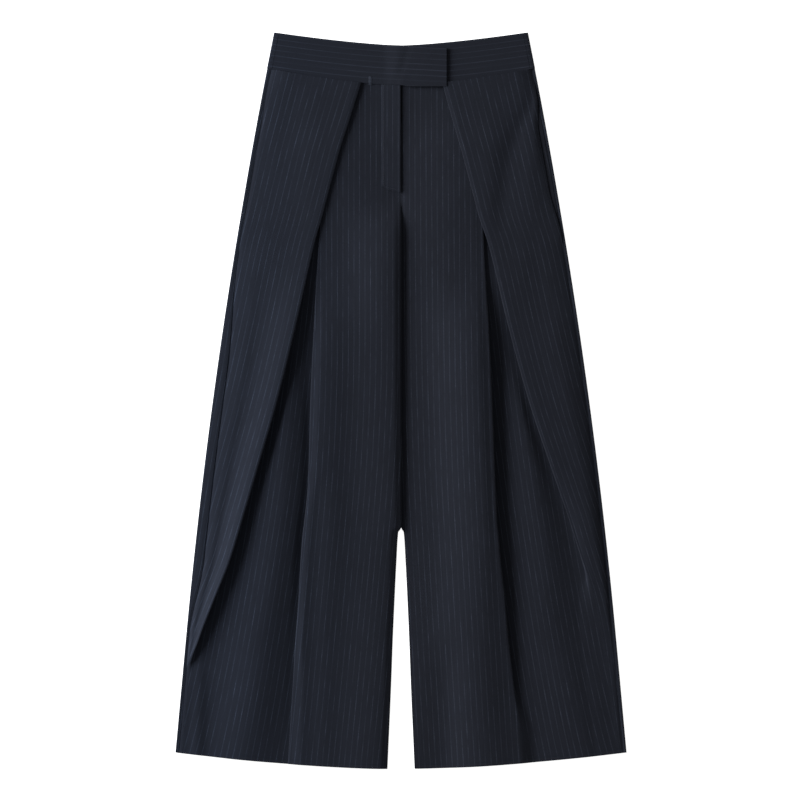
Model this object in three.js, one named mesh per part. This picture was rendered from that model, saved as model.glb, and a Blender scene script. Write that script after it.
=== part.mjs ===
// Wide-leg culottes in pinstripe suiting, laid out flat on their back.
// Millimetres. X runs across, from the wearer's right (-X) to their left (+X), Y up the garment to the
// waist, and Z up from the surface it lies on. The origin is on that surface, at the middle of the garment.
// Each front leg is one folded wall of cloth. From the side seam a top panel runs in to a long diagonal
// fold (the pleat), turns under, comes back along the bottom as the pleat's floor, and turns up again in an
// upright fold (the crease) to the centre panel. "Across" is always measured from the centre line.
import * as THREE from "three";

// Cloth
const CLOTH = 1.1; // one layer of suiting, as a wall
const BAND = 1.8; // the waistband: two layers and their interfacing
const REST = 0.4; // between layers that lie on each other
const SEAM = 0.3; // between two pieces at a seam
const PITCH = CLOTH + REST;
const PLEAT_AIR = 3; // the most air inside the pleat's edge
const CREASE_AIR = 2.4; // and inside the crease
const AIRLESS = 8; // a pleat this narrow has no air inside its edge,
const AIR_SHARE = 0.25; // and a wider one at most this share of what it has over that

// Outline, laid flat
const LENGTH = 980; // from the waistband's corners to the lowest point of the hem
const HALF_WAIST = 168;
const SIDE_FLARE = 0.2; // slope of the side at the waist
const SIDE_EASE = 6.7e-5; // how fast that slope eases towards the hem
const WAIST_DIP = { drop: 17.3, from: 0, reach: 168, power: 1.4 }; // the top edge sinks to the centre
const SEAM_DIP = { drop: 22, from: 0, reach: 177, power: 1.6 }; // and so does the seam under the band
const SEAM_DOWN = 70; // that seam at the centre, below the corners
const HEM_RISE = { rise: 21.5, from: 17, reach: 280, power: 1.6 }; // the hem rises to the outer corner
const BEND_FADE = 180; // how far down or up those two curves still bend the cloth
const SIDE_PULL = 4.2; // the bend at the waist draws the side in this much

// Waistband, tab and fly
const TAB_REACH = 60.5; // the tab's end, past the centre
const TAB_TOP = 20.6;
const TAB_BOTTOM = 71.8;
const TAB_START = -25; // where the band begins to climb over the other half
const BAND_WRAP = 6; // the back band's turn onto the front
const FLY_WIDTH = 26;
const FLY_BOTTOM = 213;
const FLY_SLANT = 6; // the fly's lower edge rises this much to its outer corner
const FLY_CORNER = 9;
const FLY_INSET = 1; // from the centre line to the fly's edge

// Side pockets, set in the side seams
const POCKET = { top: 100, bottom: 268, fade: 26 };
const GAPE_TOP = 40; // the opening stands open more and more over this, below its top
const GAPE_BOTTOM = 60; // and above its bottom
const FACING_WIDTH = 24;
const FACING_INSET = 0.3;
const FACING_END = 6; // the facing stops this short of the opening's ends

// Layer 0 is the back, and layer n lies n cloths above it. A height is that of the cloth's middle.
const layer = (n) => CLOTH / 2 + n * PITCH;
const FLOOR = layer(1);
const UNDER = layer(2);
const OVER = layer(3);

// A table's rows, each value under its column's name
const rowsOf = (columns, rows) =>
  rows.map((row) => Object.fromEntries(columns.map((name, i) => [name, row[i]])));

// One row for each station of the front, with the folds of the two legs.
// down: below the waistband's corners. pleatRight, pleatLeft: the diagonal fold, across.
// creaseRight, creaseLeft: the upright fold, across. pleatHigh, creaseHigh: the folds' top layers.
// crest: the highest part of the centre panel, which lies crestRight or crestLeft inside the crease.
// tuck: how far the upright fold goes under. shut: 1 where it is pressed shut, 0.67 where it hardly goes
// under, 0.34 where it is an upright step and 0 where it is a wave.
// inner: the inner edge of the leg, across.
const STATIONS = rowsOf(
  [
    "down", "pleatRight", "pleatLeft", "creaseRight", "creaseLeft", "pleatHigh", "creaseHigh",
    "crest", "crestRight", "crestLeft", "tuck", "shut", "inner",
  ],
  [
    [70, 53, 55, 104, 105, 5.05, 2.1, 2.1, 12, 17, 16, 0, 0.15],
    [120, 69, 69, 104, 106, 6.3, 3, 3, 12, 17, 30, 0, 0.15],
    [160, 82, 81, 105, 107, 8.05, 5.05, 5.05, 12, 17, 34, 0.34, 0.15],
    [200, 93, 92, 106, 108, 8.05, 5.05, 5.05, 12, 17, 38, 0.67, 0.15],
    [245, 105, 104, 107, 109, 8.05, 5.05, 5.05, 12, 17, 40, 1, 0.15],
    [280, 115, 116, 109, 110, 8.05, 5.05, 5.05, 12, 17, 40, 1, 0.15],
    [383, 138, 141, 115, 116, 11, 8.8, 10.5, 12, 17, 38, 1, 0.15],
    [489, 164, 170, 120, 121, 12, 10, 12, 12, 17, 36, 1, 0.15],
    [596, 195, 206, 123, 125, 12, 10, 12, 12, 17, 30, 1, 0.15],
    [657, 213, 227, 129, 128, 12, 9.8, 11.8, 12, 18, 28, 1, 0.15],
    [664, 215, 229, 130, 129, 12, 9.7, 11.7, 12, 18, 28, 1, 3.6],
    [702, 227, 241, 133, 132, 11.5, 9.3, 11.2, 12, 22, 26, 1, 6],
    [755, 248, 258, 136, 138, 10, 8.5, 10.4, 11, 29, 24, 1, 8.6],
    [809, 269, 269, 140, 143, 8.5, 7.8, 9.6, 10, 35, 22, 1, 11],
    [862, 286, 276, 143, 149, 6.6, 7.3, 9, 15, 41, 21, 1, 12.9],
    [979, 294, 290, 150, 158, 4, 6.6, 8.2, 20, 48, 20, 1, 18],
  ],
);

// Where the rings of cloth lie, down the leg
const RINGS = [
  70, 95, 125, 160, 200, 220, 245, 280, 300, 325, 355, 400, 450, 505,
  560, 610, 657, 664, 702, 730, 755, 782, 809, 840, 880, 930, 979,
];

// Soft ridges in the pleat's floor, each down its own line.
// across: the crest. high: over the floor. inner, outer: from the crest to the ridge's two feet.
const RIDGE_COLUMNS = ["down", "across", "high", "inner", "outer"];
const FLOOR_RIDGES = {
  right: [
    rowsOf(RIDGE_COLUMNS, [
      [400, 140, 0, 20, 12],
      [440, 143, 2.5, 22, 14],
      [489, 149, 5.5, 34, 20],
      [569, 157, 7, 47, 42],
      [622, 161, 7.4, 50, 60],
      [675, 167, 7.4, 54, 64],
      [755, 178, 7.2, 56, 70],
      [809, 188, 7, 58, 68],
      [888, 196, 6.6, 60, 60],
      [979, 210, 5, 62, 52],
    ]),
    rowsOf(RIDGE_COLUMNS, [
      [800, 268, 0, 12, 12],
      [888, 268, 1.2, 12, 14],
      [979, 271, 1.4, 12, 15],
    ]),
  ],
  left: [
    rowsOf(RIDGE_COLUMNS, [
      [430, 150, 0, 24, 14],
      [489, 158, 3.2, 32, 12],
      [569, 172, 4.8, 46, 25],
      [622, 181, 5.2, 54, 33],
      [675, 189, 5, 58, 40],
      [728, 193, 4.6, 58, 46],
      [782, 198, 3.8, 58, 50],
      [835, 212, 3, 60, 44],
      [979, 246, 2.2, 70, 30],
    ]),
  ],
};

// The two legs. turn: how far the back comes round onto the front. gape: how far the pocket stands open.
// A pleat as narrow as narrow has opened out into a slope as long as slope; one as wide as wide is folded.
// A pleat as narrow as flatWidth lies flat, and one as wide as fullWidth has its full height. The lower
// fullness is, the sooner it rises between them.
// crestRun: the centre panel climbs to its crest over this. roll: the inner edge stands this high.
// lift, hemLift: what this leg's folds have over the heights in the table, down to LIFT_FROM and at the hem.
// hemOpen: how much of the crease's shut is lost at the hem.
const LEGS = {
  right: {
    name: "right", mirror: false, turn: { pocket: 5, leg: 13, hem: 4 }, gape: 1.5,
    narrow: 4, wide: 18, slope: 6, flatWidth: 4, fullWidth: 36, fullness: 0.4, crestRun: 90, roll: 6.5,
    lift: { pleat: 3, crease: 0, crest: 0 },
    hemLift: { pleat: 1.5, crease: -1.5, crest: 0 },
    hemOpen: 0,
  },
  left: {
    name: "left", mirror: true, turn: { pocket: 4, leg: 4, hem: 4 }, gape: 6.5,
    narrow: 12, wide: 56, slope: 30, flatWidth: 14, fullWidth: 60, fullness: 1.3, crestRun: 72, roll: 0,
    lift: { pleat: -4.5, crease: 3.4, crest: 2.8 },
    hemLift: { pleat: 0, crease: 0.2, crest: 1.6 },
    hemOpen: 0.9,
  },
};
const TURN_CHANGE = { pocketEnd: 450, hemStart: 700, hemEnd: 800, over: 150 };

// Folds
const SIDE_SHARE = 0.35; // share of the top panel's fall that lies outside the hidden fold
const CREST_CLEAR = 5; // the top panel stays level until it is this far past the crease
const TURN_ROOM = PITCH / 2 + 0.3; // the least that a layer runs between its two turns
const STEP_CORNER = 1.3; // radius at the corners of an upright step
const HIGHEST = 10; // over the pleat's floor, before any lift
const LIFT_FROM = 700; // the lift turns into the hem's from here down
const HEM_CHANGE = 200; // and over this
const ROLL_TOP = 220; // the inner edge's roll begins here, below the fly
const ROLL_START = 50; // and has its height this far down
const ROLL_RUN = 80; // it reaches this far out
const ROLL_CREST = 10; // its crest is this far out
const ROLL_FALL = 0.2; // share of the roll that is lost from there to the edge
const ROLL_HEM = 0.7; // share of the roll that is left below the crotch
const CROTCH = { from: 620, over: 120 }; // where the roll loses the rest
const FULL_ROLL = 3; // an edge that rolls this high turns all the way down onto the back
const HEM_OPENS = 740; // a crease that opens at the hem starts to open here
const EDGE_STEP = 0.6; // between the points at the inner edge
const EDGE_CORNER = [0.9, 0.25, 1.8]; // the points of its rounded corner, from the edge and from the top
const CREST_INSIDE = 12; // the centre panel's climb starts at least this far from the inner edge
const FLOOR_LOW = { pleat: 2, pleatOver: 12, crease: 1, creaseOver: 9 }; // the floor is low beside the folds
const OPEN_RUN = 80; // and where the crease is open, the centre panel climbs over this
const CREASE_RAMP = 20; // where the crease is open, its wave starts this far outside it
const HEM_RAMP = 32; // and this far at a hem where it opens
const LEAST_WIDTH = 4; // of the top panel, at the hem
const PART_FROM = 283; // from here down the two folds lie apart
const CLEAR = 6; // how far apart the two folds are before either may rise or sink past the other
const SPREAD = 25; // and how much further until they have

const SUITING = new THREE.MeshStandardMaterial({ color: 0x1d2330, roughness: 0.92, metalness: 0 });

const mix = (a, b, t) => a + (b - a) * t;
const clamp = (t) => Math.min(1, Math.max(0, t));
const smooth = (t) => clamp(t) ** 2 * (3 - 2 * clamp(t));
const rounded = (t) => Math.sin((Math.PI / 2) * clamp(t));

// A column of a table at any height, through its rows with no overshoot.
function read(rows, column, down) {
  const last = rows.length - 1;
  const slope = (i) => (rows[i + 1][column] - rows[i][column]) / (rows[i + 1].down - rows[i].down);
  const tangent = (i) => {
    if (i === 0 || i === last) return slope(i === 0 ? 0 : last - 1);
    const [a, b] = [slope(i - 1), slope(i)];
    return a * b > 0 ? (2 * a * b) / (a + b) : 0;
  };
  let k = 0;
  while (k < last - 1 && down > rows[k + 1].down) k += 1;
  const span = rows[k + 1].down - rows[k].down;
  const t = clamp((down - rows[k].down) / span);
  const from = rows[k][column] * (1 + 2 * t) * (1 - t) ** 2 + tangent(k) * span * t * (1 - t) ** 2;
  const to = rows[k + 1][column] * t * t * (3 - 2 * t) - tangent(k + 1) * span * t * t * (1 - t);
  return from + to;
}
const station = (column, down) => read(STATIONS, column, down);

const halfWidth = (down) => HALF_WAIST + SIDE_FLARE * down - SIDE_EASE * down * down;
// How far along one of the bowed edges' curves a place across is: 0 at its start and 1 at its reach
const curve = (bow, across) => Math.max(0, (Math.abs(across) - bow.from) / bow.reach) ** bow.power;
const topEdge = (across) => WAIST_DIP.drop * (1 - curve(WAIST_DIP, across));
const waistSeam = (across) => SEAM_DOWN - SEAM_DIP.drop * curve(SEAM_DIP, across);
const hemRise = (across) => HEM_RISE.rise * curve(HEM_RISE, across);

const nearWaist = (down) => clamp(1 - (down - SEAM_DOWN) / BEND_FADE) ** 2;
const legWidth = (down) => halfWidth(down) - SIDE_PULL * nearWaist(down);

// A ring bends with the waist seam at the top of the leg and with the hem at its foot.
function bent(down, across) {
  const nearHem = clamp((down - LENGTH + BEND_FADE) / BEND_FADE) ** 2;
  return down + (waistSeam(across) - SEAM_DOWN + SEAM / 2) * nearWaist(down) - hemRise(across) * nearHem;
}

// How far the back comes round the side, onto the front.
function backTurn(leg, down) {
  const { pocketEnd, hemStart, hemEnd, over } = TURN_CHANGE;
  const below = smooth((down - pocketEnd + over) / over);
  const nearHem = smooth((down - hemStart) / (hemEnd - hemStart));
  return mix(mix(leg.turn.pocket, leg.turn.leg, below), leg.turn.hem, nearHem);
}

const pocketOpen = (down) =>
  smooth((down - POCKET.top) / POCKET.fade + 1) * smooth((POCKET.bottom - down) / POCKET.fade + 1);
const seamAcross = (leg, down) => legWidth(down) - backTurn(leg, down);

function floorRidges(leg, down, across) {
  let high = 0;
  for (const rows of FLOOR_RIDGES[leg.name]) {
    const off = across - read(rows, "across", down);
    const foot = read(rows, off < 0 ? "inner" : "outer", down);
    high += Math.max(0, read(rows, "high", down)) * smooth(1 - Math.abs(off) / foot);
  }
  return high;
}

// A point of an upright step with rounded corners, from its outer end to its inner end.
function uprightStep({ across, from, to }, t) {
  const tall = Math.abs(to - from);
  const corner = Math.min(STEP_CORNER, tall / 2);
  const arc = (Math.PI / 2) * corner;
  const straight = tall - 2 * corner;
  const along = t * (2 * arc + straight);
  const first = Math.min(along, arc) / corner;
  const last = Math.max(0, along - arc - straight) / corner;
  const run = corner * (1 - Math.sin(first)) - corner * (1 - Math.cos(last));
  const upright = clamp((along - arc) / straight) * straight;
  const fall = corner * (1 - Math.cos(first)) + upright + corner * Math.sin(last);
  return [across + run, from + Math.sign(to - from) * fall];
}

// A fold opens out in three steps: it loses its depth, then stands as an upright step, then slopes away.
const foldDepth = (fold) => clamp(fold * 3 - 2);
const foldStands = (fold) => clamp(fold * 3);
function unfold(fold, points, step, slope) {
  return points.map(([across, high], i) => {
    const t = (i + 1) / points.length;
    const [stepAcross, stepHigh] = uprightStep(step, t);
    const slopeAcross = mix(slope.across, slope.toAcross, t);
    const slopeHigh = mix(slope.from, slope.to, smooth(t));
    const shape = clamp(fold * 3 - 1);
    return [
      mix(mix(slopeAcross, stepAcross, foldStands(fold)), across, shape),
      mix(mix(slopeHigh, stepHigh, foldStands(fold)), high, shape),
    ];
  });
}

// The sizes of one front leg's section, from which its curve is drawn.
function sectionOf(leg, down) {
  const column = leg.mirror ? "Left" : "Right";
  const open = pocketOpen(down);
  const gaping = smooth((down - POCKET.top) / GAPE_TOP) * smooth((POCKET.bottom - down) / GAPE_BOTTOM);
  const side = seamAcross(leg, down) - leg.gape * open * gaping;
  const pleat = Math.min(station("pleat" + column, down), side - LEAST_WIDTH);
  const crease = station("crease" + column, down);
  const width = side - pleat;
  const hemOpen = leg.hemOpen * smooth((down - HEM_OPENS) / HEM_CHANGE);
  const shut = clamp(station("shut", down) - hemOpen);
  const folded = clamp((width - leg.narrow) / (leg.wide - leg.narrow));
  const apart = smooth((pleat - crease - CLEAR) / SPREAD);
  const past = Math.max(pleat, crease + CREST_CLEAR);
  const toHem = smooth((down - LIFT_FROM) / HEM_CHANGE);
  const lift = (fold) => apart * mix(leg.lift[fold], leg.hemLift[fold], toHem);
  // The crease lies low until the pleat is clear of it.
  const clear = (high, more) =>
    down < PART_FROM ? high : mix(Math.min(high, OVER), high + more, apart);
  const creaseHigh = clear(station("creaseHigh", down), lift("crease"));
  const crest = clear(station("crest", down), lift("crest"));
  const pleatLift = lift("pleat");
  const full = clamp((width - leg.flatWidth) / (leg.fullWidth - leg.flatWidth)) ** leg.fullness;
  const highest = FLOOR + (HIGHEST + pleatLift) * full;
  const pleatHigh = Math.min(station("pleatHigh", down) + pleatLift, highest);
  const noseAir = Math.max(0, Math.min(apart * PLEAT_AIR, pleatHigh - OVER, (width - AIRLESS) * AIR_SHARE));
  const nose = (PITCH + noseAir) / 2; // radius of the pleat's edge
  const bendAir = Math.min(CREASE_AIR, Math.max(0, creaseHigh - OVER));
  const bend = (PITCH + bendAir) / 2; // and of the crease's
  const tuck = mix(bend + TURN_ROOM, station("tuck", down), foldDepth(shut));
  const deep = side - SIDE_SHARE * (side - past);
  const belowCrotch = smooth((down - CROTCH.from) / CROTCH.over);
  return {
    leg, down, side, pleat, crease, width, apart, past, tuck, creaseHigh, pleatHigh, crest,
    crestAt: crease - station(leg.mirror ? "crestLeft" : "crestRight", down),
    inner: station("inner", down),
    roll: leg.roll * smooth((down - ROLL_TOP) / ROLL_START) * mix(1, ROLL_HEM, belowCrotch),
    seamHigh: FLOOR + PITCH * open,
    hidden: Math.min(mix(pleat + nose + TURN_ROOM, deep, foldDepth(folded)), side - PITCH / 2),
    deep, noseAir, nose, bend,
    under: crease - tuck,
    ramp: mix(CREASE_RAMP, HEM_RAMP, hemOpen),
    folded,
    shut,
  };
}

// Height of the top panel, between the side seam and the pleat.
function panelHigh(s, across) {
  const top = Math.max(s.pleatHigh, OVER);
  const outside = mix(s.seamHigh, OVER, rounded((s.side - across) / (s.side - s.deep)));
  const inside = (top - OVER) * smooth((s.deep - across) / (s.deep - s.past));
  const opened = mix(s.seamHigh, s.pleatHigh, rounded((s.side - across) / s.width));
  return mix(opened, outside + inside, foldStands(s.folded));
}

// Height of the centre panel, between the crease and the inner edge.
function centreHigh(s, across) {
  const [edge, crest] = [Math.max(s.creaseHigh, OVER), Math.max(s.crest, OVER)];
  const inside = mix(FLOOR, OVER, rounded((across - s.inner) / (s.under - s.inner)));
  const climbing = (crest - OVER) * smooth((across - s.crestAt + s.leg.crestRun) / s.leg.crestRun);
  const falling = smooth((across - s.crestAt) / (s.crease - s.crestAt));
  const highest = Math.max(s.crest, s.creaseHigh) - FLOOR;
  const open = highest * smooth((across - s.crestAt + OPEN_RUN) / OPEN_RUN);
  const panel = mix(
    FLOOR + open - (s.crest - s.creaseHigh) * falling,
    inside + climbing - (crest - edge) * falling,
    foldStands(s.shut),
  );
  const out = across - s.inner;
  const rise = smooth((ROLL_RUN - out) / (ROLL_RUN - ROLL_CREST));
  return panel + s.roll * (rise - ROLL_FALL * smooth(1 - out / ROLL_CREST));
}

// The last points of a section, at the inner edge. A rolled edge turns down onto the back.
function innerEnd(s) {
  const top = centreHigh(s, s.inner + 3 * EDGE_STEP);
  const upright = s.inner + CLOTH / 2;
  const [wide, narrow, depth] = EDGE_CORNER;
  const turned = [
    [upright + wide, top - narrow],
    [upright + narrow, top - wide],
    [upright, top - depth],
    [upright, FLOOR],
  ];
  const rolled = clamp(s.roll / FULL_ROLL);
  return turned.map(([across, high], i) => {
    const level = s.inner + (3 - i) * EDGE_STEP;
    return [mix(level, across, rolled), mix(centreHigh(s, level), high, rolled)];
  });
}

// Height of the pleat's floor, which stays low under the folds beside it.
function floorHigh(s, across) {
  const { pleat, pleatOver, crease, creaseOver } = FLOOR_LOW;
  const fromPleat = mix(1, smooth((s.pleat - pleat - across) / pleatOver), foldStands(s.folded));
  const fromCrease = mix(1, smooth((across - s.crease - crease) / creaseOver), foldStands(s.shut));
  return FLOOR + floorRidges(s.leg, s.down, across) * fromPleat * fromCrease;
}

const steps = (count) => Array.from({ length: count }, (_, i) => (i + 1) / count);

// The middle of the cloth in one section of a front leg, from the side seam to the inner edge,
// as points [across, height]. Each fold is drawn twice, folded and opened out, and mixed.
function frontCurve(s) {
  const points = [[s.side, s.seamHigh]];
  const { nose, noseAir, bend } = s;
  const top = Math.max(s.pleatHigh, OVER);
  const panel = (across) => points.push([across, panelHigh(s, across)]);
  for (const t of steps(4)) panel(mix(s.side, s.hidden, t));
  const edge = s.pleat + mix(STEP_CORNER, nose, clamp(s.folded * 3 - 1));
  const overlap = steps(4).map((t) => mix(s.hidden, edge, t));
  overlap.forEach(panel);

  const folded = [45, 0, -45, -90].map((degrees) => {
    const angle = THREE.MathUtils.degToRad(degrees);
    return [s.pleat + nose - nose * Math.cos(angle), top - nose + nose * Math.sin(angle)];
  });
  const turn = s.hidden - PITCH / 2;
  for (const t of [1 / 3, 2 / 3]) {
    const across = mix(s.pleat + nose, turn, t);
    const sunk = noseAir * smooth((s.hidden - across) / (s.hidden - s.pleat));
    const along = Math.max(UNDER, panelHigh({ ...s, folded: 1 }, across) - PITCH - sunk);
    folded.push([across, mix(mix(top - 2 * nose, UNDER, t), along, foldDepth(s.folded))]);
  }
  folded.push([turn, UNDER], [s.hidden, (UNDER + FLOOR) / 2], [turn, FLOOR]);
  const pleatEnd = s.pleat - s.leg.slope;
  points.push(...unfold(
    s.folded, folded, { across: s.pleat, from: top, to: FLOOR },
    { across: s.pleat, toAcross: pleatEnd, from: s.pleatHigh, to: floorHigh(s, pleatEnd) },
  ));

  const floorFrom = points.at(-1)[0];
  const creaseStart = s.crease + s.ramp;
  const tucked = s.under + PITCH / 2;
  const openTo = mix(creaseStart, s.crease, foldStands(s.shut));
  const floorTo = mix(openTo, tucked, clamp(s.shut * 3 - 1));
  for (const t of steps(13).slice(0, -1)) {
    const across = mix(floorFrom, floorTo, t);
    points.push([across, floorHigh(s, across)]);
  }

  const creaseTop = Math.max(s.creaseHigh, OVER);
  const shut = [[tucked, FLOOR], [s.under, (UNDER + FLOOR) / 2], [tucked, UNDER]];
  for (const t of [1 / 3, 2 / 3]) {
    const across = mix(tucked, s.crease - bend, t);
    shut.push([across, mix(UNDER, creaseTop - 2 * bend, smooth(t))]);
  }
  for (const degrees of [-90, -45, 0, 45, 90]) {
    const angle = THREE.MathUtils.degToRad(degrees);
    shut.push([s.crease - bend + bend * Math.cos(angle), creaseTop - bend + bend * Math.sin(angle)]);
  }
  points.push(...unfold(
    s.shut, shut, { across: s.crease, from: FLOOR, to: creaseTop },
    { across: creaseStart, toAcross: s.crease, from: floorHigh(s, creaseStart), to: s.creaseHigh },
  ));
  const topFrom = s.crease - mix(STEP_CORNER, bend, clamp(s.shut * 3 - 1));
  const topTo = Math.max(s.crestAt - s.leg.crestRun, s.inner + CREST_INSIDE);
  const centre = (across) => points.push([across, centreHigh(s, across)]);
  for (const t of steps(2)) centre(mix(topFrom, s.crestAt, t));
  for (const t of steps(4)) centre(mix(s.crestAt, topTo, t));
  for (const t of steps(3)) centre(mix(topTo, s.inner + 4 * EDGE_STEP, t));
  return [...points, ...innerEnd(s)];
}

// A closed wall of cloth round rings of points [x, down, z] on its middle. Every ring has as many points
// and runs towards +X. The ring's normal in its own plane gives the two faces.
function wall(name, rings, thick, mirror = false) {
  const count = rings[0].length;
  const positions = [];
  for (const ring of rings) {
    ring.forEach(([x, down, z], i) => {
      const [before, after] = [ring[Math.max(0, i - 1)], ring[Math.min(count - 1, i + 1)]];
      let along = [after[0] - before[0], after[2] - before[2]];
      const end = i === 0 || i === count - 1; // both ends of the cloth are cut square to the axes
      if (end) along = Math.abs(along[0]) >= Math.abs(along[1]) ? [along[0], 0] : [0, along[1]];
      const size = Math.hypot(...along) || 1;
      const [nx, nz] = [(-along[1] / size) * (thick / 2), (along[0] / size) * (thick / 2)];
      const y = LENGTH / 2 - down;
      const side = mirror ? -1 : 1;
      positions.push(side * (x + nx), y, z + nz, side * (x - nx), y, z - nz);
    });
  }
  const index = [];
  const quad = (a, b, c, d) => index.push(...(mirror ? [a, c, b, a, d, c] : [a, b, c, a, c, d]));
  const upper = (ring, i) => (ring * count + i) * 2;
  const lower = (ring, i) => upper(ring, i) + 1;
  const lastRing = rings.length - 1;
  for (let r = 0; r < lastRing; r += 1) {
    for (let i = 0; i < count - 1; i += 1) {
      quad(upper(r, i), upper(r + 1, i), upper(r + 1, i + 1), upper(r, i + 1));
      quad(lower(r, i), lower(r, i + 1), lower(r + 1, i + 1), lower(r + 1, i));
    }
    quad(upper(r + 1, 0), upper(r, 0), lower(r, 0), lower(r + 1, 0));
    quad(upper(r, count - 1), upper(r + 1, count - 1), lower(r + 1, count - 1), lower(r, count - 1));
  }
  for (let i = 0; i < count - 1; i += 1) {
    quad(upper(0, i), upper(0, i + 1), lower(0, i + 1), lower(0, i));
    quad(upper(lastRing, i + 1), upper(lastRing, i), lower(lastRing, i), lower(lastRing, i + 1));
  }
  const geometry = new THREE.BufferGeometry();
  geometry.setAttribute("position", new THREE.Float32BufferAttribute(positions, 3));
  geometry.setIndex(index);
  geometry.computeVertexNormals();
  const mesh = new THREE.Mesh(geometry, SUITING.clone());
  mesh.name = name;
  return mesh;
}

// A front leg, folded.
function frontLeg(leg) {
  const rings = RINGS.map((down) =>
    frontCurve(sectionOf(leg, down)).map(([across, high]) => [-across, bent(down, across), high]),
  );
  return wall(`front_${leg.name}`, rings, CLOTH, leg.mirror);
}

// A back leg: flat on the surface, turned up round the side and back to the side seam.
function backLeg(leg) {
  const bendUp = (FLOOR - layer(0)) / 2;
  const rings = RINGS.map((down) => {
    const edge = legWidth(down);
    const seam = seamAcross(leg, down) + SEAM;
    const inner = station("inner", down);
    const flat = steps(6).map((t) => [mix(edge - bendUp, inner, t), layer(0)]);
    const turned = [
      [seam, FLOOR],
      [edge - bendUp, FLOOR],
      [edge - bendUp * 0.3, FLOOR - bendUp * 0.3],
      [edge, layer(0) + bendUp],
      [edge - bendUp * 0.3, layer(0) + bendUp * 0.3],
      [edge - bendUp, layer(0)],
    ];
    // The faces need the path to run towards +X along the bottom, so the turned part starts it.
    return [...turned, ...flat].map(([across, high]) => [-across, bent(down, across), high]);
  });
  return wall(`back_${leg.name}`, rings, CLOTH, leg.mirror);
}

// A band between the waist's top edge and the waist seam. Columns are [x, z], and a column may set its own
// upper and lower edge.
function band(name, columnsAt) {
  const rows = [0, 0.25, 0.5, 0.75, 1];
  const rings = rows.map((t) => {
    const sideDown = mix(topEdge(HALF_WAIST), waistSeam(SEAM_DIP.reach), t);
    return columnsAt(halfWidth(sideDown)).map(({ x, z, from, to }) => [
      x, mix(from ?? topEdge(x), to ?? waistSeam(x) - SEAM / 2, t), z,
    ]);
  });
  return wall(name, rings, BAND);
}

const BACK_BAND = BAND / 2;
const FRONT_BAND = BAND * 1.5 + SEAM;
const TAB_HIGH = OVER + CLOTH / 2 + SEAM + BAND / 2; // over the pleat's layers at its end

function bandBack() {
  const bendUp = (FRONT_BAND - BACK_BAND) / 2;
  const half = (edge, side) => [
    { x: side * (edge - BAND_WRAP + SEAM), z: FRONT_BAND },
    { x: side * (edge - bendUp), z: FRONT_BAND },
    { x: side * (edge - bendUp * 0.3), z: FRONT_BAND - bendUp * 0.3 },
    { x: side * edge, z: BACK_BAND + bendUp },
    { x: side * (edge - bendUp * 0.3), z: BACK_BAND + bendUp * 0.3 },
    { x: side * (edge - bendUp), z: BACK_BAND },
  ];
  return band("waistband_back", (edge) => {
    const flat = steps(12).slice(0, -1).map((t) => ({ x: mix(-edge, edge, t), z: BACK_BAND }));
    return [...half(edge, -1), ...flat, ...half(edge, 1).reverse()];
  });
}

// The wearer's right half, with the tab that closes over the left half.
function bandFrontRight() {
  const climb = (x) => {
    const overBand = mix(FRONT_BAND, FRONT_BAND + BAND + SEAM, smooth((x - TAB_START) / -TAB_START));
    return mix(overBand, TAB_HIGH, smooth(x / 40));
  };
  return band("waistband_front_right", (edge) => {
    const start = -edge + BAND_WRAP;
    const plain = steps(8).map((t) => mix(start, TAB_START, t));
    const tab = [-17, -9, 0, 10, 20, 30, 40, TAB_REACH];
    return [start, ...plain, ...tab].map((x) => ({
      x, z: climb(x),
      from: x > 0 ? mix(topEdge(0), TAB_TOP, x / TAB_REACH) : undefined,
      to: x > 0 ? mix(waistSeam(0), TAB_BOTTOM, clamp(x / 10)) : undefined,
    }));
  });
}

function bandFrontLeft() {
  return band("waistband_front_left", (edge) =>
    [0, ...steps(10)].map((t) => ({ x: mix(1.5, edge - BAND_WRAP, t), z: FRONT_BAND })),
  );
}

// The fly's facing, which stands proud of the right front, from that panel's own surface.
function fly() {
  const lift = CLOTH + SEAM;
  const acrossSteps = [1, 0.9, 0.78, 0.66, 0.4, 0].map((t) => mix(FLY_INSET, FLY_WIDTH, t));
  const bottom = (across) => {
    const intoCorner = Math.max(0, across - (FLY_WIDTH - FLY_CORNER));
    const corner = FLY_CORNER - Math.sqrt(Math.max(0, FLY_CORNER ** 2 - intoCorner ** 2));
    return FLY_BOTTOM - (FLY_SLANT * across) / FLY_WIDTH - corner;
  };
  const rings = [0, ...steps(7)].map((t) =>
    acrossSteps.map((across) => {
      const down = mix(SEAM_DOWN, bottom(across), t);
      const s = sectionOf(LEGS.right, down);
      return [-across, t === 0 ? waistSeam(across) + SEAM / 2 : down, centreHigh(s, across) + lift];
    }),
  );
  return wall("fly_facing", rings, CLOTH);
}

// The pocket's facing, under the front's edge, where the side seam stands open.
function pocketFacing(leg) {
  const [from, to] = [POCKET.top + FACING_END, POCKET.bottom - FACING_END];
  const rings = [0, ...steps(6)].map((t) => {
    const down = mix(from, to, t);
    const outer = seamAcross(leg, down) - FACING_INSET;
    return [0, 0.5, 1].map((u) => {
      const across = outer - FACING_WIDTH * u;
      return [-across, bent(down, across), FLOOR];
    });
  });
  return wall(`pocket_facing_${leg.name}`, rings, CLOTH, leg.mirror);
}

const culottes = new THREE.Group();
culottes.add(bandBack(), bandFrontRight(), bandFrontLeft(), fly());
for (const leg of Object.values(LEGS)) {
  culottes.add(backLeg(leg), frontLeg(leg), pocketFacing(leg));
}

export default culottes;
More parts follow.
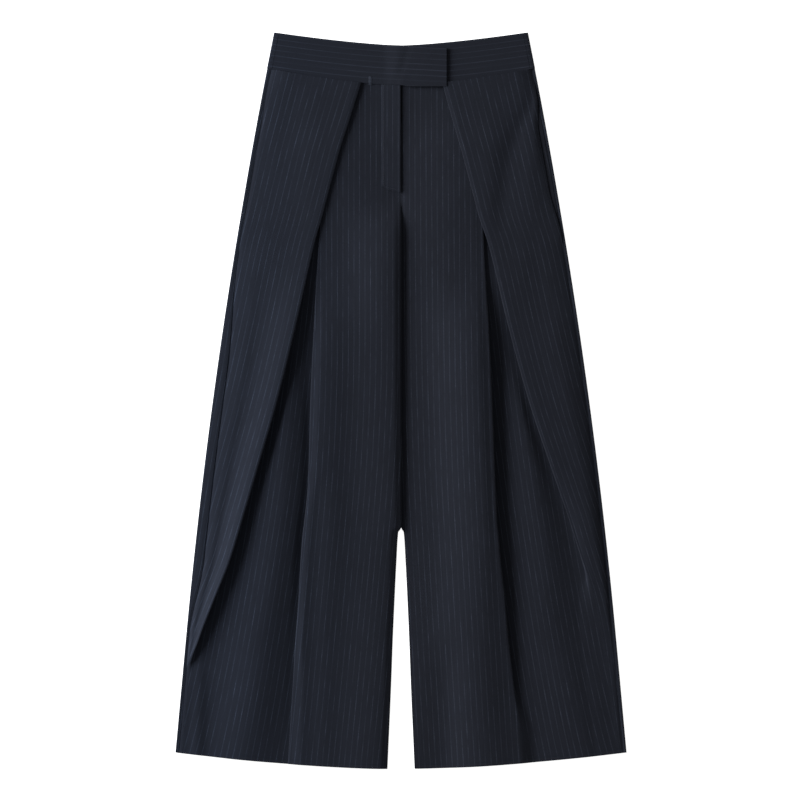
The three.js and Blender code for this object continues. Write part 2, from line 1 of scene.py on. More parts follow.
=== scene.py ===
# Wide-leg culottes in pinstripe suiting, laid out flat on their back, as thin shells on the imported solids.
# Sizes are in millimetres and are turned into metres where a mesh is made. "Across" is the distance from the
# centre line and "down" the distance below the waistband's corners, as in the part's own source.
import math

import bpy
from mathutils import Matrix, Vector


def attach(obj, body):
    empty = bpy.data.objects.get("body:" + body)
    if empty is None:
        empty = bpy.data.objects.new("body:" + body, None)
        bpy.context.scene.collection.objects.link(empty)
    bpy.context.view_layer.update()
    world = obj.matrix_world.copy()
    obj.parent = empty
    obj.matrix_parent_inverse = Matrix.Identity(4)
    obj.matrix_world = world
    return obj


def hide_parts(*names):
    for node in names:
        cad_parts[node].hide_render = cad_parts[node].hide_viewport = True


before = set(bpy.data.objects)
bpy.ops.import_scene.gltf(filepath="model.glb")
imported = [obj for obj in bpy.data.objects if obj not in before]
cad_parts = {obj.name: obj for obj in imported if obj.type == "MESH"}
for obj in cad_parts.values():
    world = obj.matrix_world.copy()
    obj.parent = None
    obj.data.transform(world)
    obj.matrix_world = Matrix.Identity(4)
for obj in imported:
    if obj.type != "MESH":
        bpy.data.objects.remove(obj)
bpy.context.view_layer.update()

MM = 0.001
PIXEL = 1.33  # millimetres that one pixel of the photograph shows
PICTURE = 800  # pixels across the photograph
STRIPE_PITCH = 7.35

# Cloth
CLOTH = 1.1
SHELL = 0.85  # the visible layer is a little thinner than the solid one
BAND = 1.8
BAND_SHELL = 1.6
REST = 0.4  # between layers that lie on each other
SEAM = 0.3
PITCH = CLOTH + REST
PLEAT_AIR = 3  # the most air inside the pleat's edge
CREASE_AIR = 2.4
AIRLESS = 8  # a pleat this narrow has no air inside its edge
AIR_SHARE = 0.25

# Outline: a dip or rise has its depth, its reach and its power, and the hem's also where it starts
LENGTH = 980
HALF_WAIST = 168
SIDE_FLARE = 0.2
SIDE_EASE = 6.7e-5
WAIST_DIP = (17.3, 168, 1.4)
SEAM_DIP = (22, 177, 1.6)
SEAM_DOWN = 70
HEM_RISE = (21.5, 17, 280, 1.6)
BEND_FADE = 180
SIDE_PULL = 4.2

# Waistband, tab and fly
TAB_REACH = 60.5
TAB_TOP = 20.6
TAB_BOTTOM = 71.8
TAB_START = -25  # the band begins to climb over the other half here
TAB_CLIMB = 40
TAB_CORNER = 10  # over this the lower edge goes down from the waist seam to the tab's
BAND_START = 1.5  # the left half begins this far past the centre
BAND_STRIPE = 2.2  # from a stripe to the band's top edge
BAND_WRAP = 6
SIDE_TILT = 0.9  # the back's turned edge stands up this much at the side seam
SIDE_TILT_RUN = 12
FLY_WIDTH = 26
FLY_BOTTOM = 213
FLY_SLANT = 6
FLY_CORNER = 9
FLY_INSET = 1
FLY_LEAN = 1.1  # the fly stands this much prouder at the centre line
FLY_EDGE = 0.45  # and its outer edge is pressed down this much
FLY_EDGE_HALF = 1.6
FLY_SHARES = (1, 0.985, 0.97, 0.95, 0.93, 0.88, 0.82, 0.76, 0.7, 0.64, 0.5, 0.35, 0.2, 0.08, 0)

# Stitches: the fly's top-stitching, and a bar tack on the band (across, top, bottom, half width)
STITCH_LONG = 2.4
STITCH_APART = 0.7
THREAD = 0.35
STITCH_INSET = 2.6
STITCH_TURN = 22  # the stitching leaves the fly's edge this far above its foot
BAR_TACK = (40.6, 58.5, 69, 2.4)
BAR_ROWS_APART = 0.7
BAR_THREAD = 0.5
BAR_THREAD_APART = 0.2
BAR_THREAD_SHORT = 0.4
BAR_LIFT = 0.1

# The seam down the centre front, down to the crotch, and the side seams
CROTCH = 657
CROTCH_OPENS = 6  # the legs part over this
CROTCH_DOWNS = (CROTCH, CROTCH + 3.5, CROTCH + 7)  # extra rings there
CENTRE_LAP = 0.8
SEAM_SINK = 0.55
SEAM_SINK_HALF = 2.2

# Pockets
POCKET_TOP = 100
POCKET_BOTTOM = 268
POCKET_FADE = 26
GAPE_TOP = 40
GAPE_BOTTOM = 60
FACING_WIDTH = 24
FACING_END = 6
FACING_INSET = 0.3


def layer(n):
    return CLOTH / 2 + n * PITCH


FLOOR = layer(1)
UNDER = layer(2)
OVER = layer(3)

# One row for each station of the front. The pleat is the long diagonal fold and the crease the upright one,
# both across. crest_right and crest_left: how far inside the crease the centre panel is highest.
# tuck: how far the crease goes under. shut: 1 where it is pressed shut, and 0 where it is a wave.
COLUMNS = ("down", "pleat_right", "pleat_left", "crease_right", "crease_left", "pleat_high", "crease_high",
           "crest", "crest_right", "crest_left", "tuck", "shut", "inner")
STATIONS = [dict(zip(COLUMNS, row)) for row in [
    (70, 53, 55, 104, 105, 5.05, 2.1, 2.1, 12, 17, 16, 0, 0.15),
    (120, 69, 69, 104, 106, 6.3, 3, 3, 12, 17, 30, 0, 0.15),
    (160, 82, 81, 105, 107, 8.05, 5.05, 5.05, 12, 17, 34, 0.34, 0.15),
    (200, 93, 92, 106, 108, 8.05, 5.05, 5.05, 12, 17, 38, 0.67, 0.15),
    (245, 105, 104, 107, 109, 8.05, 5.05, 5.05, 12, 17, 40, 1, 0.15),
    (280, 115, 116, 109, 110, 8.05, 5.05, 5.05, 12, 17, 40, 1, 0.15),
    (383, 138, 141, 115, 116, 11, 8.8, 10.5, 12, 17, 38, 1, 0.15),
    (489, 164, 170, 120, 121, 12, 10, 12, 12, 17, 36, 1, 0.15),
    (596, 195, 206, 123, 125, 12, 10, 12, 12, 17, 30, 1, 0.15),
    (657, 213, 227, 129, 128, 12, 9.8, 11.8, 12, 18, 28, 1, 0.15),
    (664, 215, 229, 130, 129, 12, 9.7, 11.7, 12, 18, 28, 1, 3.6),
    (702, 227, 241, 133, 132, 11.5, 9.3, 11.2, 12, 22, 26, 1, 6),
    (755, 248, 258, 136, 138, 10, 8.5, 10.4, 11, 29, 24, 1, 8.6),
    (809, 269, 269, 140, 143, 8.5, 7.8, 9.6, 10, 35, 22, 1, 11),
    (862, 286, 276, 143, 149, 6.6, 7.3, 9, 15, 41, 21, 1, 12.9),
    (979, 294, 290, 150, 158, 4, 6.6, 8.2, 20, 48, 20, 1, 18),
]]

# Soft ridges in the pleat's floor, each down its own line: the crest across, its height over the floor, and
# how far its inner and outer feet are from the crest.
RIDGE_COLUMNS = ("down", "across", "high", "inner", "outer")
FLOOR_RIDGES = {
    leg: [[dict(zip(RIDGE_COLUMNS, row)) for row in ridge] for ridge in ridges] for leg, ridges in {
        "right": [
            [(400, 140, 0, 20, 12), (440, 143, 2.5, 22, 14), (489, 149, 5.5, 34, 20), (569, 157, 7, 47, 42),
             (622, 161, 7.4, 50, 60), (675, 167, 7.4, 54, 64), (755, 178, 7.2, 56, 70),
             (809, 188, 7, 58, 68), (888, 196, 6.6, 60, 60), (979, 210, 5, 62, 52)],
            [(800, 268, 0, 12, 12), (888, 268, 1.2, 12, 14), (979, 271, 1.4, 12, 15)],
        ],
        "left": [
            [(430, 150, 0, 24, 14), (489, 158, 3.2, 32, 12), (569, 172, 4.8, 46, 25),
             (622, 181, 5.2, 54, 33), (675, 189, 5, 58, 40), (728, 193, 4.6, 58, 46),
             (782, 198, 3.8, 58, 50), (835, 212, 3, 60, 44), (979, 246, 2.2, 70, 30)],
        ],
    }.items()
}

# turn: how far the back comes round onto the front, at the pocket, below it and at the hem.
# gape: how far the pocket stands open.
# narrow, wide, slope: a narrow pleat has opened out into a slope this long, and a wide one is folded.
# flat_width, full_width, fullness: a pleat lies flat, or has its full height, and how soon it rises between.
# lift, hem_lift: what the pleat, the crease and the crest have over the table's heights, and at the hem.
# hem_open: how much of the crease's shut is lost at the hem.
LEGS = {
    "right": {"name": "right", "side": -1, "turn": (5, 13, 4), "gape": 1.5,
              "narrow": 4, "wide": 18, "slope": 6, "flat_width": 4, "full_width": 36,
              "fullness": 0.4, "crest_run": 90, "roll": 6.5,
              "lift": (3, 0, 0), "hem_lift": (1.5, -1.5, 0), "hem_open": 0},
    "left": {"name": "left", "side": 1, "turn": (4, 4, 4), "gape": 6.5,
             "narrow": 12, "wide": 56, "slope": 30, "flat_width": 14, "full_width": 60,
             "fullness": 1.3, "crest_run": 72, "roll": 0,
             "lift": (-4.5, 3.4, 2.8), "hem_lift": (0, 0.2, 1.6), "hem_open": 0.9},
}
TURN_CHANGE = (450, 700, 800, 150)  # the pocket's turn ends, the hem's starts and ends, and over how much

# Folds
SIDE_SHARE = 0.35
CREST_CLEAR = 5
TURN_ROOM = PITCH / 2 + 0.3
LIP = 0.45  # the visible edge of a fold is pressed this flat
STEP_CORNER = 1.3
OPEN_RUN = 80
HIGHEST = 10
LIFT_FROM = 700
HEM_OPENS = 740
HEM_CHANGE = 200
CREST_INSIDE = 12
FLOOR_LOW = (2, 12, 1, 9)  # the floor is low beside the pleat and the crease: from where, and over how much
PART_FROM = 283  # from here down the two folds lie apart
LEAST_WIDTH = 4
CLEAR = 6
SPREAD = 25
CREASE_RAMP = 20
HEM_RAMP = 32

# The rolled inner edge
ROLL_TOP = 220
ROLL_START = 50
ROLL_RUN = 80
ROLL_CREST = 10
ROLL_FALL = 0.2
ROLL_HEM = 0.7  # share of the roll that is left below the crotch
ROLL_FADE = (620, 120)  # where it loses the rest, and over how much
FULL_ROLL = 3  # an edge that rolls this high turns all the way down onto the back
EDGE_STEP = 0.6
EDGE_CORNER = (0.9, 0.25, 1.8)
EDGE_CROWD = 1.5  # how much closer the points lie towards the inner edge
SEAM_STEPS = (0.01, 0.02, 0.04)  # more points beside the side seam


def mix(a, b, t):
    return a + (b - a) * t


def clamp(t):
    return min(1.0, max(0.0, t))


def smooth(t):
    t = clamp(t)
    return t * t * (3 - 2 * t)


def rounded(t):
    return math.sin(math.pi / 2 * clamp(t))


def read(rows, column, down):
    last = len(rows) - 1

    def slope(i):
        return (rows[i + 1][column] - rows[i][column]) / (rows[i + 1]["down"] - rows[i]["down"])

    def tangent(i):
        if i in (0, last):
            return slope(0 if i == 0 else last - 1)
        a, b = slope(i - 1), slope(i)
        return 2 * a * b / (a + b) if a * b > 0 else 0

    k = 0
    while k < last - 1 and down > rows[k + 1]["down"]:
        k += 1
    span = rows[k + 1]["down"] - rows[k]["down"]
    t = clamp((down - rows[k]["down"]) / span)
    start = rows[k][column] * (1 + 2 * t) * (1 - t) ** 2 + tangent(k) * span * t * (1 - t) ** 2
    end = rows[k + 1][column] * t * t * (3 - 2 * t) - tangent(k + 1) * span * t * t * (1 - t)
    return start + end


def station(column, down):
    return read(STATIONS, column, down)


def half_width(down):
    return HALF_WAIST + SIDE_FLARE * down - SIDE_EASE * down * down


def top_edge(across):
    drop, reach, power = WAIST_DIP
    return drop * (1 - (abs(across) / reach) ** power)


def waist_seam(across):
    drop, reach, power = SEAM_DIP
    return SEAM_DOWN - drop * (abs(across) / reach) ** power


def hem_rise(across):
    rise, start, reach, power = HEM_RISE
    return rise * (max(0.0, across - start) / reach) ** power


def near_waist(down):
    return clamp(1 - (down - SEAM_DOWN) / BEND_FADE) ** 2


def leg_width(down):
    return half_width(down) - SIDE_PULL * near_waist(down)


def bent(down, across):
    near_hem = clamp((down - LENGTH + BEND_FADE) / BEND_FADE) ** 2
    return down + (waist_seam(across) - SEAM_DOWN - SEAM) * near_waist(down) - hem_rise(across) * near_hem


def back_turn(leg, down):
    pocket_end, hem_start, hem_end, over = TURN_CHANGE
    pocket, below_pocket, hem = leg["turn"]
    below = smooth((down - pocket_end + over) / over)
    near_hem = smooth((down - hem_start) / (hem_end - hem_start))
    return mix(mix(pocket, below_pocket, below), hem, near_hem)


def pocket_open(down):
    start = smooth((down - POCKET_TOP + POCKET_FADE) / POCKET_FADE)
    return start * smooth((POCKET_BOTTOM + POCKET_FADE - down) / POCKET_FADE)


def seam_across(leg, down):
    return leg_width(down) - back_turn(leg, down)


def floor_ridges(leg, down, across):
    high = 0
    for rows in FLOOR_RIDGES[leg["name"]]:
        off = across - read(rows, "across", down)
        foot = read(rows, "inner" if off < 0 else "outer", down)
        high += max(0, read(rows, "high", down)) * smooth(1 - abs(off) / foot)
    return high


def fold_depth(fold):
    return clamp(fold * 3 - 2)


def fold_stands(fold):
    return clamp(fold * 3)


def fold_shape(fold):
    return clamp(fold * 3 - 1)


def section_of(leg, down):
    name = leg["name"]
    is_open = pocket_open(down)
    gaping = is_open * smooth((down - POCKET_TOP) / GAPE_TOP) * smooth((POCKET_BOTTOM - down) / GAPE_BOTTOM)
    side = seam_across(leg, down) - leg["gape"] * gaping
    pleat = min(station("pleat_" + name, down), side - LEAST_WIDTH)
    crease = station("crease_" + name, down)
    width = side - pleat
    hem_open = leg["hem_open"] * smooth((down - HEM_OPENS) / HEM_CHANGE)
    shut = clamp(station("shut", down) - hem_open)
    folded = clamp((width - leg["narrow"]) / (leg["wide"] - leg["narrow"]))
    apart = smooth((pleat - crease - CLEAR) / SPREAD)
    past = max(pleat, crease + CREST_CLEAR)

    near_hem = smooth((down - LIFT_FROM) / HEM_CHANGE)
    lifts = [apart * mix(high, at_hem, near_hem) for high, at_hem in zip(leg["lift"], leg["hem_lift"])]
    pleat_lift, crease_lift, crest_lift = lifts

    def clear(high, more):
        return high if down < PART_FROM else mix(min(high, OVER), high + more, apart)

    crease_high = clear(station("crease_high", down), crease_lift)
    crest = clear(station("crest", down), crest_lift)
    full = clamp((width - leg["flat_width"]) / (leg["full_width"] - leg["flat_width"])) ** leg["fullness"]
    highest = FLOOR + (HIGHEST + pleat_lift) * full
    pleat_high = min(station("pleat_high", down) + pleat_lift, highest)
    fade_from, fade_over = ROLL_FADE
    left = mix(1, ROLL_HEM, smooth((down - fade_from) / fade_over))
    roll = leg["roll"] * smooth((down - ROLL_TOP) / ROLL_START) * left
    nose_air = max(0, min(apart * PLEAT_AIR, pleat_high - OVER, (width - AIRLESS) * AIR_SHARE))
    nose = (PITCH + nose_air) / 2
    bend = (PITCH + min(CREASE_AIR, max(0, crease_high - OVER))) / 2
    tuck = mix(bend + TURN_ROOM, station("tuck", down), fold_depth(shut))
    deep = side - SIDE_SHARE * (side - past)
    return dict(
        leg=leg, down=down, side=side, pleat=pleat, crease=crease, width=width, past=past,
        crease_high=crease_high, pleat_high=pleat_high, crest=crest, deep=deep,
        crest_at=crease - station("crest_" + name, down), inner=inner_edge(leg, down), roll=roll,
        seam_high=FLOOR + PITCH * is_open,
        hidden=min(mix(pleat + nose + TURN_ROOM, deep, fold_depth(folded)), side - PITCH / 2),
        nose_air=nose_air, nose=nose, bend=bend, under=crease - tuck, folded=folded, shut=shut,
        ramp=mix(CREASE_RAMP, HEM_RAMP, hem_open),
    )


def panel_high(s, across, folded=None):
    folded = s["folded"] if folded is None else folded
    top = max(s["pleat_high"], OVER)
    outside = mix(s["seam_high"], OVER, rounded((s["side"] - across) / (s["side"] - s["deep"])))
    inside = (top - OVER) * smooth((s["deep"] - across) / (s["deep"] - s["past"]))
    opened = mix(s["seam_high"], s["pleat_high"], rounded((s["side"] - across) / s["width"]))
    return mix(opened, outside + inside, fold_stands(folded))


def centre_high(s, across):
    edge, crest = max(s["crease_high"], OVER), max(s["crest"], OVER)
    inside = mix(FLOOR, OVER, rounded((across - s["inner"]) / (s["under"] - s["inner"])))
    run = s["leg"]["crest_run"]
    climbing = (crest - OVER) * smooth((across - s["crest_at"] + run) / run)
    falling = smooth((across - s["crest_at"]) / (s["crease"] - s["crest_at"]))
    highest = max(s["crest"], s["crease_high"]) - FLOOR
    opened = highest * smooth((across - s["crest_at"] + OPEN_RUN) / OPEN_RUN)
    panel = mix(
        FLOOR + opened - (s["crest"] - s["crease_high"]) * falling,
        inside + climbing - (crest - edge) * falling,
        fold_stands(s["shut"]),
    )
    out = across - s["inner"]
    rise = smooth((ROLL_RUN - out) / (ROLL_RUN - ROLL_CREST))
    return panel + s["roll"] * (rise - ROLL_FALL * smooth(1 - out / ROLL_CREST))


def floor_high(s, across):
    by_pleat, pleat_over, by_crease, crease_over = FLOOR_LOW
    from_pleat = mix(1, smooth((s["pleat"] - by_pleat - across) / pleat_over), fold_stands(s["folded"]))
    from_crease = mix(1, smooth((across - s["crease"] - by_crease) / crease_over), fold_stands(s["shut"]))
    return FLOOR + floor_ridges(s["leg"], s["down"], across) * from_pleat * from_crease


def inner_edge(leg, down):
    """Above the crotch the right leg's cloth reaches a little over the centre line, onto the left leg's."""
    lap = CENTRE_LAP if leg["name"] == "right" else 0
    return mix(-lap, station("inner", down), smooth((down - CROTCH) / CROTCH_OPENS))


def inner_end(s):
    """The last points of a section, at the inner edge. A rolled edge turns down onto the back."""
    top = centre_high(s, s["inner"] + 3 * EDGE_STEP)
    upright = s["inner"] + SHELL / 2
    wide, narrow, depth = EDGE_CORNER
    turned = [
        (upright + wide, top - narrow),
        (upright + narrow, top - wide),
        (upright, top - depth),
        (upright, FLOOR),
    ]
    rolled = clamp(s["roll"] / FULL_ROLL)
    out = []
    for i, (across, high) in enumerate(turned):
        level = s["inner"] + (3 - i) * EDGE_STEP
        out.append((mix(level, across, rolled), mix(centre_high(s, level), high, rolled)))
    return out


def steps(count):
    return [(i + 1) / count for i in range(count)]


def upright_step(across, start, end, t):
    tall = abs(end - start)
    corner = min(STEP_CORNER, tall / 2)
    arc = math.pi / 2 * corner
    straight = tall - 2 * corner
    along = t * (2 * arc + straight)
    first = min(along, arc) / corner
    last = max(0, along - arc - straight) / corner
    run = corner * (1 - math.sin(first)) - corner * (1 - math.cos(last))
    middle = clamp((along - arc) / straight) * straight if straight > 0 else 0
    fall = corner * (1 - math.cos(first)) + middle + corner * math.sin(last)
    return across + run, start + math.copysign(fall, end - start)


def unfold(fold, points, across, start, end, slope_start, slope_end, slope_from, slope_to):
    out = []
    for i, (fold_across, fold_high) in enumerate(points):
        t = (i + 1) / len(points)
        step_across, step_high = upright_step(across, start, end, t)
        slope_across = mix(slope_start, slope_end, t)
        slope_high = mix(slope_from, slope_to, smooth(t))
        stands, shape = fold_stands(fold), fold_shape(fold)
        out.append((
            mix(mix(slope_across, step_across, stands), fold_across, shape),
            mix(mix(slope_high, step_high, stands), fold_high, shape),
        ))
    return out


# Creases and swells that only the visible cloth has, as soft ridges (+) and troughs (-) along lines.
# zone, leg, (down, across) points, half width, height
RELIEF_COLUMNS = ("zone", "leg", "line", "half", "high")
RELIEF = [dict(zip(RELIEF_COLUMNS, row)) for row in [
    ("panel", "left", [(95, 178), (128, 160), (170, 140), (260, 131)], 11, -1.3),
    ("panel", "left", [(110, 196), (200, 168), (330, 165)], 16, 0.9),
    ("centre", "left", [(110, 58), (330, 66), (560, 70), (900, 78)], 42, 1.1),
    ("centre", "left", [(830, 60), (979, 62)], 20, -2.6),
    ("centre", "right", [(600, 110), (800, 118), (979, 122)], 13, -1.3),
    ("centre", "right", [(640, 74), (800, 70), (979, 66)], 34, 0.9),
    ("panel", "right", [(150, 150), (300, 172), (520, 216)], 20, 0.8),
    ("centre", "right", [(300, 30), (979, 40)], 30, 1.2),
    ("panel", "left", [(400, 200), (560, 230), (700, 254)], 20, 1.3),
]]
RELIEF_FADE = 60
RELIEF_TO_HEM = 970  # a line that reaches this far down doesn't fade out
PANEL_ENDS = 8  # over this they die out towards the side seam and the pleat's edge,
PLEAT_CLEAR = 1  # this far outside it,
CENTRE_ENDS = 10  # and over this towards the inner edge and the crease,
CREASE_CLEAR = 3  # this far inside it


def relief(zone, leg, down, across):
    high = 0
    for row in RELIEF:
        if row["zone"] != zone or row["leg"] != leg["name"]:
            continue
        line = row["line"]
        fade = smooth((down - line[0][0] + RELIEF_FADE / 2) / RELIEF_FADE)
        if line[-1][0] < RELIEF_TO_HEM:
            fade *= smooth((line[-1][0] + RELIEF_FADE / 2 - down) / RELIEF_FADE)
        if fade <= 0:
            continue
        k = 0
        while k < len(line) - 2 and down > line[k + 1][0]:
            k += 1
        (d0, a0), (d1, a1) = line[k], line[k + 1]
        off = (across - mix(a0, a1, (down - d0) / (d1 - d0))) / row["half"]
        high += row["high"] * fade * math.exp(-off * off)
    return high


# How far a stripe has moved across by this height, from rows of (down, its slope there)
def drift(down, rows):
    total = 0.0
    for (d0, s0), (d1, s1) in zip(rows, rows[1:]):
        if down <= d0:
            break
        end = min(down, d1)
        t = (end - d0) / (d1 - d0)
        total += (end - d0) * (s0 + mix(s0, s1, t)) / 2
    if down > rows[-1][0]:
        total += (down - rows[-1][0]) * rows[-1][1]
    return total


# The stripes' slopes. A grain is the distance of a point from one and the same stripe.
CENTRE_DRIFT = {
    "right": [(70, 0.0), (400, 0.0), (540, 0.05), (640, 0.09), (979, 0.1)],
    "left": [(70, 0.0), (400, 0.01), (540, 0.03), (640, 0.055), (979, 0.06)],
}
FLOOR_DRIFT = {
    "right": [(70, 0.05), (500, 0.08), (700, 0.11), (979, 0.13)],
    "left": [(70, 0.05), (500, 0.08), (700, 0.11), (979, 0.14)],
}
FLOOR_FAN = (0.0004, 700)  # the floor's stripes spread this much for each millimetre below this height
PANEL_FAN = (0.3, 90, 130)  # and the panel's with its width: the share, from which width, and over how much
PANEL_SPREAD = 0.965
BACK_GRAIN = 0.5  # the back's stripes start at this share of its width,
BACK_DRIFT = 0.02  # and have this slope


def centre_grain(leg, down, across):
    return across - drift(down, CENTRE_DRIFT[leg["name"]])


def floor_grain(leg, down, across):
    fan, start = FLOOR_FAN
    return (across - drift(down, FLOOR_DRIFT[leg["name"]])) * math.exp(-fan * (down - start))


def panel_grain(leg, down, across):
    share, width, over = PANEL_FAN
    pleat = station("pleat_" + leg["name"], down)
    fan = math.exp(share * (half_width(down) - pleat - width) / -over)
    return (across - pleat) * PANEL_SPREAD * fan


def sunk_seam(off):
    """How far the cloth sinks beside the side seam."""
    return SEAM_SINK * math.exp(-(off / SEAM_SINK_HALF) ** 2)


def front_curve(s, fine):
    """The middle of the cloth in one section: (across, high, grain) from the side seam inwards."""
    leg, down = s["leg"], s["down"]
    points = []
    folded_shape, shut_shape = fold_shape(s["folded"]), fold_shape(s["shut"])
    top = max(s["pleat_high"], OVER)

    def panel(across):
        inward = smooth((s["side"] - across) / PANEL_ENDS)
        inward *= smooth((across - s["pleat"] - PLEAT_CLEAR) / PANEL_ENDS)
        high = panel_high(s, across) + relief("panel", leg, down, across) * inward
        points.append((across, high - sunk_seam(s["side"] - across), panel_grain(leg, down, across)))

    panel(s["side"])
    for t in SEAM_STEPS:
        panel(mix(s["side"], s["hidden"], t))
    for t in steps(8 * fine):
        panel(mix(s["side"], s["hidden"], t))
    edge = s["pleat"] + mix(STEP_CORNER, s["nose"] * LIP, folded_shape)
    for t in steps(6 * fine):
        panel(mix(s["hidden"], edge, t))

    folded = []
    arc = 4 * fine
    for i in range(arc):
        angle = math.radians(90 - 180 * (i + 1) / arc)
        folded.append((s["pleat"] + s["nose"] * LIP * (1 - math.cos(angle)),
                       top - s["nose"] + s["nose"] * math.sin(angle)))
    for i in range(1, 3 * fine + 1):
        t = i / (3 * fine + 1)
        across = mix(s["pleat"] + s["nose"], s["hidden"] - PITCH / 2, t)
        sunk = s["nose_air"] * smooth((s["hidden"] - across) / (s["hidden"] - s["pleat"]))
        along = max(UNDER, panel_high(s, across, 1) - PITCH - sunk)
        folded.append((across, mix(mix(top - 2 * s["nose"], UNDER, t), along, fold_depth(s["folded"]))))
    for degrees in (90, 45, 0, -45, -90):
        angle = math.radians(degrees)
        folded.append((s["hidden"] - PITCH / 2 + PITCH / 2 * math.cos(angle),
                       (UNDER + FLOOR) / 2 + PITCH / 2 * math.sin(angle)))
    pleat_end = s["pleat"] - leg["slope"]
    turned = unfold(s["folded"], folded, s["pleat"], top, FLOOR, s["pleat"], pleat_end, s["pleat_high"],
                    floor_high(s, pleat_end))
    edge_grain = points[-1][2]
    for i, (across, high) in enumerate(turned):
        flat_grain = floor_grain(leg, down, across)
        grain = edge_grain - (i + 1) / arc * math.pi * s["nose"] if i < arc / 2 else flat_grain
        points.append((across, high, mix(flat_grain, grain, folded_shape)))

    floor_from = points[-1][0]
    crease_start = s["crease"] + s["ramp"]
    open_to = mix(crease_start, s["crease"], fold_stands(s["shut"]))
    floor_to = mix(open_to, s["under"] + PITCH / 2, shut_shape)
    for t in steps(18 * fine)[:-1]:
        across = mix(floor_from, floor_to, t)
        points.append((across, floor_high(s, across), floor_grain(leg, down, across)))

    crease_top = max(s["crease_high"], OVER)
    shut = []
    for degrees in (-90, -45, 0, 45, 90):
        angle = math.radians(degrees)
        shut.append((s["under"] + PITCH / 2 - PITCH / 2 * math.cos(angle),
                     (UNDER + FLOOR) / 2 + PITCH / 2 * math.sin(angle)))
    for i in range(1, 2 * fine + 1):
        t = i / (2 * fine + 1)
        across = mix(s["under"] + PITCH / 2, s["crease"] - s["bend"], t)
        shut.append((across, mix(UNDER, crease_top - 2 * s["bend"], smooth(t))))
    for i in range(arc + 1):
        angle = math.radians(-90 + 180 * i / arc)
        shut.append((s["crease"] - s["bend"] * LIP * (1 - math.cos(angle)),
                     crease_top - s["bend"] + s["bend"] * math.sin(angle)))
    risen = unfold(s["shut"], shut, s["crease"], FLOOR, crease_top, crease_start, s["crease"],
                   floor_high(s, crease_start), s["crease_high"])
    for i, (across, high) in enumerate(risen):
        left = len(risen) - 1 - i
        grain = centre_grain(leg, down, risen[-1][0]) + left / arc * math.pi * s["bend"]
        points.append((across, high, grain if left < arc else floor_grain(leg, down, across)))

    top_from = s["crease"] - mix(STEP_CORNER, s["bend"] * LIP, shut_shape)
    top_to = max(s["crest_at"] - leg["crest_run"], s["inner"] + CREST_INSIDE)

    def centre(across):
        inward = smooth((s["crease"] - CREASE_CLEAR - across) / CENTRE_ENDS)
        inward *= smooth((across - s["inner"]) / CENTRE_ENDS)
        high = centre_high(s, across) + relief("centre", leg, down, across) * inward
        points.append((across, high, centre_grain(leg, down, across)))

    for t in steps(4 * fine):
        centre(mix(top_from, s["crest_at"], t))
    for t in steps(7 * fine):
        centre(mix(s["crest_at"], top_to, t))
    for t in steps(10 * fine):
        centre(mix(top_to, s["inner"] + 4 * EDGE_STEP, 1 - (1 - t) ** EDGE_CROWD))
    for across, high in inner_end(s):
        points.append((across, high, centre_grain(leg, down, across)))
    return points


SHARP = 50  # degrees from which an edge is drawn sharp


def shell(name, rings, thick, side=-1):
    """A closed thin shell round rings of (across, down, high, grain); side -1 is the wearer's right."""
    count = len(rings[0])
    verts, grains = [], []
    for ring in rings:
        for i, point in enumerate(ring):
            before, after = ring[max(0, i - 1)], ring[min(count - 1, i + 1)]
            run, rise = before[0] - after[0], after[2] - before[2]
            if i in (0, count - 1):
                run, rise = (run, 0) if abs(run) >= abs(rise) else (0, rise)
            size = math.hypot(run, rise) or 1
            n_across, n_high = rise / size * thick / 2, run / size * thick / 2
            across, down, high, grain = point
            y = LENGTH / 2 - down
            for sign in (1, -1):
                verts.append((side * (across + sign * n_across) * MM, y * MM, (high + sign * n_high) * MM))
                grains.append((grain * MM, down * MM))
    faces = []

    def quad(a, b, c, d):
        faces.append((a, b, c, d) if side < 0 else (a, d, c, b))

    last = len(rings) - 1
    for r in range(last):
        here, there = r * count * 2, (r + 1) * count * 2
        for i in range(count - 1):
            a, b = here + 2 * i, there + 2 * i
            quad(a, b, b + 2, a + 2)
            quad(a + 1, a + 3, b + 3, b + 1)
        quad(there, here, here + 1, there + 1)
        e = 2 * (count - 1)
        quad(here + e, there + e, there + e + 1, here + e + 1)
    for i in range(count - 1):
        a, b = 2 * i, last * count * 2 + 2 * i
        quad(a, a + 2, a + 3, a + 1)
        quad(b + 2, b, b + 1, b + 3)
    mesh = bpy.data.meshes.new(name)
    mesh.from_pydata(verts, [], faces)
    layer_uv = mesh.uv_layers.new(name="grain")
    for loop in mesh.loops:
        layer_uv.data[loop.index].uv = grains[loop.vertex_index]
    mesh.update()
    for polygon in mesh.polygons:
        polygon.use_smooth = True
    mesh.set_sharp_from_angle(angle=math.radians(SHARP))
    obj = bpy.data.objects.new(name, mesh)
    bpy.context.scene.collection.objects.link(obj)
    return obj


def cut(rings):
    """The flat cut along the middle of a wall: its width, its length and its area, in metres."""
    def long(points):
        return sum((Vector(b[:3]) - Vector(a[:3])).length for a, b in zip(points, points[1:]))

    width = max(long(ring) for ring in rings)
    length = max(long([ring[i] for ring in rings]) for i in range(0, len(rings[0]), 6))
    total = 0.0
    for one, two in zip(rings, rings[1:]):
        for i in range(len(one) - 1):
            a, b, c, d = [Vector(p[:3]) for p in (one[i], one[i + 1], two[i + 1], two[i])]
            total += (c - a).cross(d - b).length / 2
    return width * MM, length * MM, total * MM * MM


def even(start, end, spacing, also=()):
    count = max(1, round((end - start) / spacing))
    values = {round(mix(start, end, i / count), 3) for i in range(count + 1)}
    return sorted(values | set(also))


